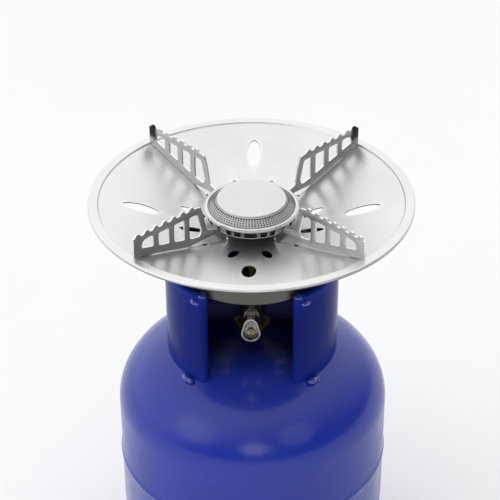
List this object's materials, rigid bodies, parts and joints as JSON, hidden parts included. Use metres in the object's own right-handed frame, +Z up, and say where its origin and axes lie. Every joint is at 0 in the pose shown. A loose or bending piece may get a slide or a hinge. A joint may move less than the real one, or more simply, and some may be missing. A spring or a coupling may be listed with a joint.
{
  "type": "gas cooker top on a refillable gas cylinder",
  "caption": "Brushed steel dish burner with toothed pan supports, screwed onto the valve of a blue refillable gas cylinder with an open-fronted guard collar.",
  "frame": {"origin": "on the floor, at the middle of the cylinder's foot ring", "axes": "+Z up along the cylinder's axis, -Y the front, towards the open side of the guard collar and the control knob, +X to the right"},
  "size_m": [0.3, 0.3, 0.4605],
  "materials": {
    "blue_paint": "glossy deep blue enamel, slightly uneven",
    "dish_steel": "satin brushed, turned grain, bright",
    "support_steel": "satin sheet with bright sheared edges",
    "skirt_steel": "dull satin grey",
    "burner_steel": "fine satin, bright rolled lip",
    "nickel_plate": "worn nickel plate over brass",
    "brass": "dull machined brass",
    "spring_steel": "bright drawn wire",
    "black_rubber": "matt black"
  },
  "bodies": {
    "gas_cylinder": {"cylinder_shell": "blue_paint", "foot_ring": "blue_paint", "guard_collar": "blue_paint", "neck_boss": "blue_paint", "cylinder_valve_body": "brass", "check_spring": "spring_steel", "valve_retainer": "brass"},
    "washer": {"sealing_washer": "black_rubber"},
    "cooker_top": {"dish": "dish_steel", "dish_skirt": "skirt_steel", "skirt_hanger_back": "skirt_steel", "skirt_hanger_left": "skirt_steel", "skirt_hanger_right": "skirt_steel", "pan_support_front_right": "support_steel", "pan_support_front_left": "support_steel", "pan_support_back_left": "support_steel", "pan_support_back_right": "support_steel", "burner_bowl": "burner_steel", "port_ring": "burner_steel", "burner_cap": "burner_steel", "mixing_tube": "brass", "dish_washer": "nickel_plate", "tube_nut": "brass", "injector": "brass", "control_valve_body": "nickel_plate", "gland_nut": "nickel_plate", "spindle_seal": "black_rubber"},
    "knob": {"control_knob": "nickel_plate", "knob_screw": "brass"},
    "spindle": {"needle_spindle": "nickel_plate"},
    "check_pin": {"check_pin": "brass"}
  },
  "joints": [
    {"name": "top_lift", "type": "slide", "parent": "gas_cylinder", "child": "washer", "axis": [0, 0, 1], "range_m": [0, 0.12]},
    {"name": "top_turn", "type": "hinge", "parent": "washer", "child": "cooker_top", "pos_m": [0, 0, 0.303], "axis": [0, 0, 1], "range_deg": [-180, 0]},
    {"name": "knob_turn", "type": "hinge", "parent": "cooker_top", "child": "knob", "pos_m": [0, -0.04, 0.3204], "axis": [0, -1, 0], "range_deg": [0, 540]},
    {"name": "spindle_slide", "type": "slide", "parent": "cooker_top", "child": "spindle", "axis": [0, -1, 0], "range_m": [0, 0.0015]},
    {"name": "check_pin_press", "type": "slide", "parent": "gas_cylinder", "child": "check_pin", "axis": [0, 0, -1], "range_m": [0, 0.0015], "stiffness_N_per_m": 600, "springref_m": -0.004, "deforming": ["check_spring"]}
  ],
  "couplings": [
    {"joint": "spindle_slide", "follows": "knob_turn", "m_per_rad": 0.00015915}
  ]
}
